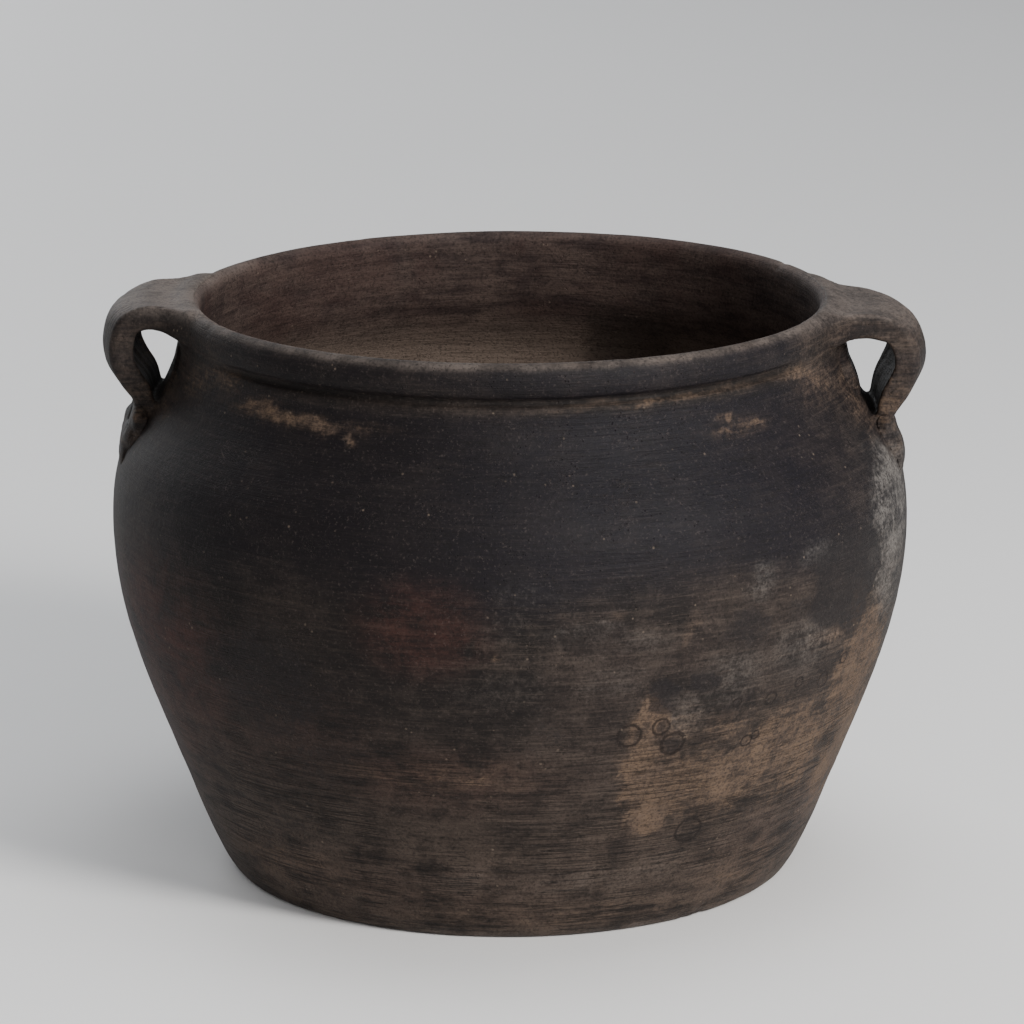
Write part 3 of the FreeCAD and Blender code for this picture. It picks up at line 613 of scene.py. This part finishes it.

    # inside: brown-black with warm throwing bands, paler further down (partly less-smoked clay, partly painted light),
    # with a painted rim shadow on the right
    inside = t.mix(t.step(blend((rubs, 0.6), (mid, 0.4)), 0.38, 0.62), lin(43, 34, 33), lin(72, 60, 55))
    inside = t.mix(t.math("MULTIPLY", t.step(big, 0.42, 0.62), 0.5), inside, lin(60, 44, 40))
    # paler low on the visible inner wall: partly less-smoked clay, partly a painted pool of light where the lamp
    # reaches down inside
    inside = t.mix(t.math("MULTIPLY", t.step(z, 188.0, 162.0), 0.88), inside, lin(120, 106, 96))
    inside = t.mix(t.math("MULTIPLY", deep, 0.45), inside, lin(34, 27, 25))
    # painted shadow of the front-right rim on the inner back wall: dark right of x ≈ 30 mm and below z ≈ 190 mm
    across = t.math("ADD", sep.outputs[0], t.math("MULTIPLY", t.math("SUBTRACT", mid, 0.5), 34.0))
    painted_rim_shadow = t.math("MULTIPLY", t.math("MULTIPLY", t.step(across, 27.0, 37.0), t.step(across, 72.0, 58.0)), t.step(z, 194.0, 182.0))
    inside = t.mix(t.math("MULTIPLY", painted_rim_shadow, 0.55), inside, lin(33, 28, 26))
    col = t.mix(a_in, col, inside)

    # rubbed edges, and painted top light on the handles
    w = t.math("MULTIPLY", a_wear_and_top_light, t.math("ADD", 0.45, t.math("MULTIPLY", t.step(blend((small, 0.5), (mid, 0.5)), 0.36, 0.58), 0.75)), clamp=True)
    col = t.mix(t.math("MULTIPLY", w, 0.66), col, lin(112, 102, 96))
    # painted shade in the groove under the collar and where the handles meet the body
    col = t.mix(t.math("MULTIPLY", a_crease_shade, 0.72), col, lin(17, 14, 13))

    # specks and scratches
    v = t.voronoi(P, 0.27)
    speck = t.math("MULTIPLY", t.step(v, 0.17, 0.07), t.step(t.noise(P, 0.11, 2.0), 0.55, 0.66))
    col = t.mix(t.math("MULTIPLY", speck, 0.40), col, lin(122, 108, 94))
    rot = t.add("ShaderNodeVectorRotate", rotation_type="EULER_XYZ")
    t.put(rot.inputs["Vector"], P)
    rot.inputs["Rotation"].default_value = (0.5, 0.9, 0.3)
    sc1 = t.noise(t.vec("MULTIPLY", rot.outputs[0], (1.0, 0.05, 1.0)), 0.62, 1.0, 0.5, 0.0)
    rot2 = t.add("ShaderNodeVectorRotate", rotation_type="EULER_XYZ")
    t.put(rot2.inputs["Vector"], P)
    rot2.inputs["Rotation"].default_value = (-0.35, 0.25, 1.2)
    sc2 = t.noise(t.vec("MULTIPLY", rot2.outputs[0], (0.05, 1.0, 1.0)), 0.7, 1.0, 0.5, 0.0)
    scratch = t.math("MAXIMUM", t.step(t.math("ABSOLUTE", t.math("SUBTRACT", sc1, 0.5)), 0.006, 0.001),
                     t.step(t.math("ABSOLUTE", t.math("SUBTRACT", sc2, 0.5)), 0.006, 0.001))
    scratch = t.math("MULTIPLY", scratch, t.step(t.noise(P, 0.055, 3.0), 0.53, 0.64))
    col = t.mix(t.math("MULTIPLY", scratch, 0.35), col, lin(98, 87, 79))
    # fine pepper over everything
    col = t.mix(t.math("MULTIPLY", t.step(grain, 0.52, 0.34), 0.55), col, lin(17, 15, 14))
    col = t.mix(t.math("MULTIPLY", t.step(grain, 0.56, 0.72), 0.24), col, lin(96, 86, 80))

    rough = t.math("ADD", 0.56, t.math("MULTIPLY", small, 0.14))
    rough = t.math("ADD", rough, t.math("MULTIPLY", t.math("MAXIMUM", o, b), 0.20))
    rough = t.math("SUBTRACT", rough, t.math("MULTIPLY", a_band, 0.05))
    rough = t.math("ADD", rough, t.math("MULTIPLY", a_in, 0.08), clamp=True)

    # surface: grain, pits, turning lines, lifted edges of the worn patches
    h = blend((grain, 0.075), (small, 0.16), (lines, 0.17), (hair, 0.07), (rubs, 0.10))
    h = t.math("SUBTRACT", h, t.math("MULTIPLY", o, 0.06))
    h = t.math("SUBTRACT", h, t.math("MULTIPLY", rib, 0.12))
    h = t.math("ADD", h, t.math("MULTIPLY", ring, 0.05))
    h = t.math("SUBTRACT", h, t.math("MULTIPLY", scratch, 0.06))
    pit = t.step(t.voronoi(P, 0.62), 0.24, 0.06)
    h = t.math("SUBTRACT", h, t.math("MULTIPLY", t.math("MULTIPLY", pit, t.step(t.noise(P, 0.2, 2.0), 0.50, 0.62)), 0.20))
    bump = t.add("ShaderNodeBump")
    bump.inputs["Strength"].default_value = 1.0
    bump.inputs["Distance"].default_value = 0.0015
    t.put(bump.inputs["Height"], h)

    bsdf = t.add("ShaderNodeBsdfPrincipled")
    t.put(bsdf.inputs["Base Color"], col)
    t.put(bsdf.inputs["Roughness"], rough)
    t.put(bsdf.inputs["Normal"], bump.outputs["Normal"])
    bsdf.inputs["Specular IOR Level"].default_value = 0.13
    out = t.add("ShaderNodeOutputMaterial")
    t.nt.links.new(bsdf.outputs[0], out.inputs["Surface"])
    return mat


CLAY = clay_material("smoked_clay")


# ------------------------------------------------------------- the turned pieces
def row_at(z, side_rows, r=None):
    idx = np.where(side_rows)[0]
    if r is not None:
        return int(idx[np.argmin(np.abs(PZ[idx] - z) + np.abs(PR[idx] - r))])
    return int(idx[np.argmin(np.abs(PZ[idx] - z))])


outer_rows = OUTSIDE & (PR > 100)
JA = row_at(9.0, outer_rows)
JB = row_at(110.0, outer_rows)
JE = row_at(203.0, outer_rows)
JF = row_at(205.5, ~OUTSIDE & (PR > 100))
JC = row_at(114.0, ~OUTSIDE & (PR > 100))
JD = row_at(9.9, ~OUTSIDE, 98.8)
ALL_MASKS = masks(GRID.reshape(-1, 3), inner_flag)


def turned(name, ranges, caps=False):
    rows_ = []
    for a, b in ranges:
        rows_ += list(range(a, b + 1))
    V = GRID[rows_].reshape(-1, 3)
    N = GN[rows_].reshape(-1, 3)
    A = {k: v.reshape(NROW, NA)[rows_].ravel() for k, v in ALL_MASKS.items()}
    n = len(rows_)
    i = np.arange(NA)
    i2 = (i + 1) % NA
    links = [(k, k + 1) for k in range(n - 1)]
    if not caps:
        links.append((n - 1, 0))
    F = np.concatenate([np.stack([a * NA + i, a * NA + i2, b * NA + i2, b * NA + i], -1) for a, b in links])
    faces = [tuple(f) for f in F]
    if caps:
        for row, zc in ((0, float(V[0, 2])), (n - 1, float(V[(n - 1) * NA, 2]))):
            V = np.concatenate([V, [[0, 0, zc]]])
            N = np.concatenate([N, [[0, 0, -1.0 if row == 0 else 1.0]]])
            A = {k: np.append(v, v[row * NA]) for k, v in A.items()}
            c = len(V) - 1
            ring_faces = [(row * NA + a, c, row * NA + b) if row == 0 else (row * NA + b, c, row * NA + a) for a, b in zip(i, i2)]
            faces += ring_faces
    piece = make_piece("clay_" + name, V, faces, N, A, CLAY)
    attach(piece, "root")
    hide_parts(name)
    return piece


turned("base_floor", [(0, JA), (JD, NROW - 1)], caps=True)
turned("wall_lower", [(JA, JB), (JC, JD)])
turned("wall_upper", [(JB, JE), (JF, JC)])
turned("rim_collar", [(JE, JF)])


# ------------------------------------------------------- handles and luting clay
# Each handle is worked out on the +X side in (rho, y, z), mm, with the left one mirrored.
LEFT = [(125.0, 213.2, 4.8, 35), (131, 214.2, 4.5, 28), (138.7, 214.2, 4.3, 25.5), (146.0, 211.2, 4.3, 24.5), (148.6, 203.8, 4.3, 24), (148.2, 197, 4.3, 23.5),
        (144.2, 190.2, 4.3, 22.5), (139.9, 185.2, 4.0, 21.5), (138.2, 180.6, 3.6, 21), (138.8, 175.5, 3.5, 21), (140.6, 170, 3.4, 21.5), (142.6, 165.5, 2.5, 21), (144.0, 161.5, 0.9, 20)]
RIGHT = [(125.0, 210.6, 4.8, 35), (131, 210.8, 4.4, 28), (139.7, 210.2, 4.3, 25.5), (148.6, 207.0, 4.3, 24.5), (152.2, 199.6, 4.3, 24), (152.2, 193.6, 4.3, 23.5),
         (149.0, 187.2, 4.2, 22.5), (144.8, 181.8, 3.9, 21.5), (142.3, 177.2, 3.2, 21), (141.7, 173, 2.8, 21), (142.4, 168, 2.7, 21.5), (144.0, 162.5, 2.2, 21), (145.7, 158, 0.9, 20)]
# lumps of luting clay round the foot: x, y, z, then radii
LUMPS_L = [(140.7, -20.5, 168, 3.1, 5, 3.4), (142.4, -10, 166.4, 2.7, 7, 4.6), (142.8, 6, 168.2, 3.1, 9.5, 5.8), (140.8, 19, 169, 3.2, 6.5, 6), (143.6, -13, 161, 2.2, 9, 5),
           (143.6, 12, 161.5, 2.2, 9, 5), (138.6, -22.5, 174, 2.6, 4.5, 5), (138.8, 22.0, 173, 2.6, 4.5, 5), (144.3, 0, 162.5, 2.2, 11, 5)]
LUMPS_R = [(143.9, -20.5, 164.6, 3.5, 4.6, 2.9), (142.2, -18, 168, 2.6, 5, 4), (144.8, -7, 162.2, 3.1, 9.5, 5.6), (144.3, 10.5, 164.0, 2.7, 6.5, 4.8), (142.9, 19, 165.5, 3.2, 6.5, 6), (144.9, -13, 157.5, 2.0, 9, 5),
           (144.9, 12, 157.5, 2.0, 9, 5), (140.6, -22.0, 170.5, 2.6, 4.5, 5), (140.8, 22.0, 170, 2.6, 4.5, 5), (145.8, 0, 159, 2.2, 11, 5)]


def side_points(P, side):
    """Real points from worked ones: the left side is mirrored in x."""
    Q = np.array(P, float)
    Q[:, 0] *= side
    return Q


def body_distance(P, side):
    rho = np.hypot(P[:, 0], P[:, 1])
    Q = side_points(P, side)
    inner = (rho < np.interp(P[:, 2], [0, 9, 114, 150, 200, 206, 230], [90, 98, 143, 144, 118, 119, 119]))
    return sd2(rho, P[:, 2]) - unevenness(Q, inner)


def strap_distance(P, knots, seed):
    """Distance to the strap: a rounded box section swept down the knots."""
    C = catmull(knots, 8)
    # seen from above the strap bows outward along its middle, more than the pot's own round
    round_ = np.hypot(P[:, 0], P[:, 1]) - P[:, 0]
    bow = 5.3 * np.minimum(np.abs(P[:, 1]) / 24.0, 1.3) ** 2
    loop = sstep(175, 190, P[:, 2]) * sstep(128, 143, P[:, 0])
    rho = P[:, 0] + round_ + (bow - round_) * loop
    q = np.stack([rho, P[:, 2]], -1)
    d2, w, t, side_, along = (np.full(len(P), 1e9) for _ in range(5))
    total = 0.0
    for k in range(len(C) - 1):
        a, b = C[k, :2], C[k + 1, :2]
        ab = b - a
        L = np.linalg.norm(ab)
        s = np.clip((q - a) @ ab / L ** 2, 0, 1)
        c = q - (a + s[:, None] * ab)
        dist = (c ** 2).sum(1)
        m = dist < d2
        d2 = np.where(m, dist, d2)
        t = np.where(m, C[k, 2] * (1 - s) + C[k + 1, 2] * s, t)
        w = np.where(m, C[k, 3] * (1 - s) + C[k + 1, 3] * s, w)
        side_ = np.where(m, ab[0] * c[:, 1] - ab[1] * c[:, 0], side_)
        along = np.where(m, total + s * L, along)
        total += L
    n = np.sqrt(d2)
    y = np.abs(P[:, 1])
    t = t + 0.75 * np.clip(y / w, 0, 1) ** 3 - 0.25                   # a raised bead along each edge
    w = w + 0.9 * noise1(along / 17.0, seed) + 0.4 * noise1(along / 6.0, seed + 1)
    # lengthwise marks where wet hands pulled the strap
    pull = 0.20 * vnoise(np.stack([P[:, 1] / 3.6, along / 38.0, np.sign(side_) * 2.0], -1), seed + 2)
    pull = pull * (0.6 + 0.4 * np.sign(side_) * -1.0) + 0.09 * vnoise(np.stack([P[:, 1] / 1.5, along / 20.0, np.sign(side_) * 5.0], -1), seed + 3)
    rc = 2.4
    rc = np.minimum(rc, np.maximum(t - 0.2, 0.3))
    dx, dy = n - (t + pull - rc), y - (w - rc)
    return np.hypot(np.maximum(dx, 0), np.maximum(dy, 0)) + np.minimum(np.maximum(dx, dy), 0) - rc


def ellipsoid(P, e):
    q = (P - np.array(e[:3])) / np.array(e[3:])
    k0 = np.linalg.norm(q, axis=1)
    k1 = np.linalg.norm(q / np.array(e[3:]), axis=1) + 1e-9
    return k0 * (k0 - 1.0) / k1


def handle_fields(P, side, knots, lumps, seed, pad):
    """body, strap, and the whole rough surface of clay round a handle."""
    Q = side_points(P, side)
    body = body_distance(P, side)
    strap = strap_distance(P, knots, seed)
    k = 3.5 + 3.5 * sstep(186, 202, P[:, 2])
    F = smin(body, strap, k)
    lump = np.full(len(P), 1e9)
    for e in lumps:
        lump = smin(lump, ellipsoid(P, e), 3.0)
    rough = 0.55 * fbm(Q / 7.5, seed + 40, 3) + 0.22 * vnoise(Q / 2.3, seed + 41)
    low = sstep(186, 178, P[:, 2])
    lump = lump - rough
    # clay packed on the body under the upper end
    feather = sstep(22, 14, np.abs(P[:, 1]) + 1.5 * noise1(P[:, 2] / 7.0, seed + 43)) * sstep(177, 191, P[:, 2])
    padd = np.maximum(body - (pad + 0.25 * fbm(Q / 6.0, seed + 42, 2) + 0.3) * feather + 0.3, P[:, 2] - 207.5)
    return body, strap, F, lump, padd


def handle_solid(P, side, knots, lumps, seed, pad):
    body, strap, F, lump, padd = handle_fields(P, side, knots, lumps, seed, pad)
    H = np.maximum.reduce([F, -(body + 2.0), strap - 6.5, 118.2 - np.hypot(P[:, 0], P[:, 1])])
    return H


def luting_low(P, side, knots, lumps, seed, pad):
    body, strap, F, lump, padd = handle_fields(P, side, knots, lumps, seed, pad)
    G = smin(lump, smin(body, strap, 5.0) + 0.0, 3.0)
    near = smin(lump, lump, 0.1) - 1.2
    outer_half = rofz(P[:, 2]) - 4.0 - np.hypot(P[:, 0], P[:, 1])
    return np.maximum.reduce([G, near, -(np.minimum(body, strap) + 1.5), outer_half])


def luting_up(P, side, knots, lumps, seed, pad):
    body, strap, F, lump, padd = handle_fields(P, side, knots, lumps, seed, pad)
    outer_half = rofz(np.minimum(P[:, 2], 200.4)) - 3.2 - np.hypot(P[:, 0], P[:, 1])      # on the outside of the wall only
    return np.maximum.reduce([smin(padd, strap, 3.0), padd - 0.8, -(body + 1.2), outer_half])


def surface_nets(fn, lo, hi, h):
    """A closed quad mesh of fn < 0 inside the box, projected on to fn = 0."""
    n = [int(math.ceil((hi[i] - lo[i]) / h)) + 1 for i in range(3)]
    ax = [lo[i] + h * np.arange(n[i]) for i in range(3)]
    V = np.empty(n)
    for i, x in enumerate(ax[0]):
        Y, Z = np.meshgrid(ax[1], ax[2], indexing="ij")
        V[i] = fn(np.stack([np.full(Y.size, x), Y.ravel(), Z.ravel()], -1)).reshape(n[1], n[2])
    V[0], V[-1], V[:, 0], V[:, -1], V[:, :, 0], V[:, :, -1] = (1.0,) * 6
    ins = V < 0
    # the largest connected part only
    cells = np.zeros([m - 1 for m in n], int)
    for dx in (0, 1):
        for dy in (0, 1):
            for dz in (0, 1):
                cells += ins[dx:n[0] - 1 + dx, dy:n[1] - 1 + dy, dz:n[2] - 1 + dz]
    act = (cells > 0) & (cells < 8)
    idx = np.full(act.shape, -1)
    idx[act] = np.arange(act.sum())
    acc, cnt = np.zeros(act.shape + (3,)), np.zeros(act.shape)
    base_i = np.stack(np.meshgrid(*[np.arange(m) for m in n], indexing="ij"), -1).astype(float)
    for axis in range(3):
        for o1 in (0, 1):
            for o2 in (0, 1):
                off = [0, 0, 0]
                a1, a2 = [a for a in range(3) if a != axis]
                off[a1], off[a2] = o1, o2
                sl0 = tuple(slice(off[a], n[a] - 1 + off[a]) for a in range(3))
                off1 = list(off)
                off1[axis] = 1
                sl1 = tuple(slice(off1[a], n[a] - 1 + off1[a]) for a in range(3))
                a, b = V[sl0], V[sl1]
                cross = (a < 0) != (b < 0)
                tt = np.where(cross, a / np.where(cross, a - b, 1), 0)
                p = base_i[sl0] + 0.0
                p[..., axis] += tt
                acc += p * cross[..., None]
                cnt += cross
    pts = (acc[act] / cnt[act][:, None]) * h + np.array(lo)
    quads = []
    for axis in range(3):
        a1, a2 = [(1, 2), (2, 0), (0, 1)][axis]
        s0 = [slice(1, m - 1) for m in n]
        s0[axis] = slice(0, n[axis] - 1)
        s1 = list(s0)
        s1[axis] = slice(1, n[axis])
        a, b = ins[tuple(s0)], ins[tuple(s1)]
        w = np.argwhere(a != b)
        flip = a[tuple(w.T)]
        g = w + np.array([s.start for s in s0])
        q = []
        for u, v in ((0, 0), (-1, 0), (-1, -1), (0, -1)):
            c = g.copy()
            c[:, a1] += u
            c[:, a2] += v
            q.append(idx[tuple(c.T)])
        q = np.stack(q, -1)
        q[~flip] = q[~flip][:, ::-1]
        quads.append(q)
    quads = np.concatenate(quads)
    # keep the largest shell
    parent = np.arange(len(pts))

    def find(a):
        while parent[a] != a:
            parent[a] = parent[parent[a]]
            a = parent[a]
        return a
    lab = np.arange(len(pts))
    for _ in range(400):
        m = lab[quads].min(1)
        new = lab.copy()
        np.minimum.at(new, quads.ravel(), np.repeat(m, 4))
        new = new[new]
        if (new == lab).all():
            break
        lab = new
    vals, counts = np.unique(lab[quads[:, 0]], return_counts=True)
    keep_ = lab[quads[:, 0]] == vals[np.argmax(counts)]
    quads = quads[keep_]
    used = np.unique(quads)
    remap = np.full(len(pts), -1)
    remap[used] = np.arange(len(used))
    pts, quads = pts[used], remap[quads]

    def grad(p, e=0.25):
        g = np.empty_like(p)
        for i in range(3):
            d = np.zeros(3)
            d[i] = e
            g[:, i] = (fn(p + d) - fn(p - d)) / (2 * e)
        return g
    for _ in range(3):
        f, g = fn(pts), grad(pts)
        step = f[:, None] * g / np.maximum((g ** 2).sum(1), 0.2)[:, None]
        pts = pts - np.clip(step, -0.45 * h, 0.45 * h)
    g = grad(pts)
    g /= np.linalg.norm(g, axis=1, keepdims=True) + 1e-9
    return pts, quads, g


H_STEP = 0.95
SIDES = ((-1, "left", LEFT, LUMPS_L, 50, 1.0), (1, "right", RIGHT, LUMPS_R, 90, 2.8))
for side, word, knots, lumps, seed, pad in SIDES:
    for kind, field, slot_, box_ in (("handle_" + word, handle_solid, "handle_clay", ((106, -52, 145), (161, 52, 224))),
                                     ("luting_" + word + "_lower", luting_low, "luting_clay", ((132, -34, 143), (156, 34, 186))),
                                     ("luting_" + word + "_upper", luting_up, "luting_clay", ((114, -24, 182), (136, 24, 211)))):
        pts, quads, g = surface_nets(lambda p: field(p, side, knots, lumps, seed, pad), box_[0], box_[1], H_STEP)
        real, rn = side_points(pts, side), side_points(g, side)
        body = body_distance(pts, side)
        strap = strap_distance(pts, knots, seed)
        extra = {}
        on_strap = sstep(3.0, 7.0, body)
        ridge = np.exp(-(np.maximum(np.abs(np.abs(pts[:, 1]) - 22.5) - 0.4, 0) / 2.4) ** 2) * sstep(166, 190, pts[:, 2]) * on_strap
        # painted top light: the upward-facing tops of the handles are made paler
        top = np.clip(g[:, 2], 0, 1) * sstep(176, 200, pts[:, 2])
        top = sstep(0.25, 0.85, g[:, 2]) * sstep(176, 200, pts[:, 2])
        extra["wear_and_top_light"] = np.maximum(0.10 * ridge, (1.0 if side < 0 else 0.70) * top * (0.85 + 0.25 * vnoise(real / 9.0, seed + 60)))
        root = np.exp(-((pts[:, 2] - (166 if side < 0 else 162)) / 10.0) ** 2)
        extra["ochre"] = 0.46 * root * (0.75 + 0.25 * vnoise(real / 8.0, seed + 61))
        # painted shade where the strap meets the body
        extra["crease_shade"] = np.exp(-(np.minimum(np.abs(body), 20) / 1.6) ** 2) * np.exp(-(np.minimum(np.abs(strap), 20) / 1.6) ** 2) * 0.7
        A = masks(real, np.zeros(len(real), bool), extra)
        A["crease_shade"] = np.where(pts[:, 2] > 190, extra["crease_shade"], A["crease_shade"])
        A["inside"] = np.zeros(len(real))
        piece = make_piece("clay_" + kind, real, quads if side > 0 else quads[:, ::-1], rn, A, CLAY)
        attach(piece, "root")
        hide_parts(kind)


# -------------------------------------------------------------------- the floor
def floor_material():
    mat = bpy.data.materials.new("pale_floor")
    t = Tree(mat)
    P = t.vec("SCALE", t.add("ShaderNodeTexCoord").outputs["Object"], scale=1.0)
    n = t.noise(P, 1.4, 4.0, 0.5)
    col = t.mix(n, (0.80, 0.79, 0.78, 1.0), (0.85, 0.84, 0.835, 1.0))
    fine = t.noise(P, 90.0, 4.0, 0.6)
    rough = t.math("ADD", 0.52, t.math("MULTIPLY", fine, 0.14))
    bump = t.add("ShaderNodeBump")
    bump.inputs["Strength"].default_value = 0.12
    bump.inputs["Distance"].default_value = 0.0006
    t.put(bump.inputs["Height"], fine)
    b = t.add("ShaderNodeBsdfPrincipled")
    t.put(b.inputs["Base Color"], col)
    t.put(b.inputs["Roughness"], rough)
    t.put(b.inputs["Normal"], bump.outputs["Normal"])
    o = t.add("ShaderNodeOutputMaterial")
    t.nt.links.new(b.outputs[0], o.inputs["Surface"])
    return mat


fm = bpy.data.meshes.new("floor")
S = 9.0
fm.from_pydata([(-S, -S, 0), (S, -S, 0), (S, S, 0), (-S, S, 0)], [], [(0, 1, 2, 3)])
fm.materials.append(floor_material())
floor = bpy.data.objects.new("floor", fm)
bpy.context.scene.collection.objects.link(floor)


# ------------------------------------------------------------- light and camera
def area(name, place, aim, size, watts, colour, size_y=None):
    data = bpy.data.lights.new(name, "AREA")
    data.shape = "RECTANGLE"
    data.size = size
    data.size_y = size_y or size
    data.energy = watts
    data.color = colour
    o = bpy.data.objects.new(name, data)
    o.location = place
    o.rotation_euler = (Vector(aim) - Vector(place)).to_track_quat("-Z", "Y").to_euler()
    bpy.context.scene.collection.objects.link(o)
    return o


area("key", (1.28, -1.36, 1.18), (0.0, 0.0, 0.12), 0.55, 60, (1.0, 0.985, 0.96))
area("fill", (0.35, -2.4, 0.95), (0.0, 0.0, 0.12), 1.5, 17, (1.0, 0.97, 0.94))
area("behind", (-1.3, 2.2, 1.15), (0.0, 0.0, 0.12), 2.0, 30, (0.96, 0.98, 1.0))
area("top", (0.25, 0.1, 1.9), (0.0, 0.0, 0.2), 1.1, 12, (0.96, 0.98, 1.0))

world = bpy.data.worlds.new("studio")
bpy.context.scene.world = world
world.use_nodes = True
world.node_tree.nodes["Background"].inputs["Color"].default_value = (0.92, 0.95, 1.0, 1.0)
world.node_tree.nodes["Background"].inputs["Strength"].default_value = 0.36

cam_data = bpy.data.cameras.new("camera")
cam_data.sensor_width = 36.0
cam_data.lens = 184.73
cam_data.shift_x = 0.0055
cam_data.dof.use_dof = False
cam_data.clip_end = 50
cam = bpy.data.objects.new("camera", cam_data)
cam.location = (0.0, -1.931, 0.6292)
cam.rotation_euler = (math.radians(75.6045), 0.0027, 0.0)
bpy.context.scene.collection.objects.link(cam)
bpy.context.scene.camera = cam
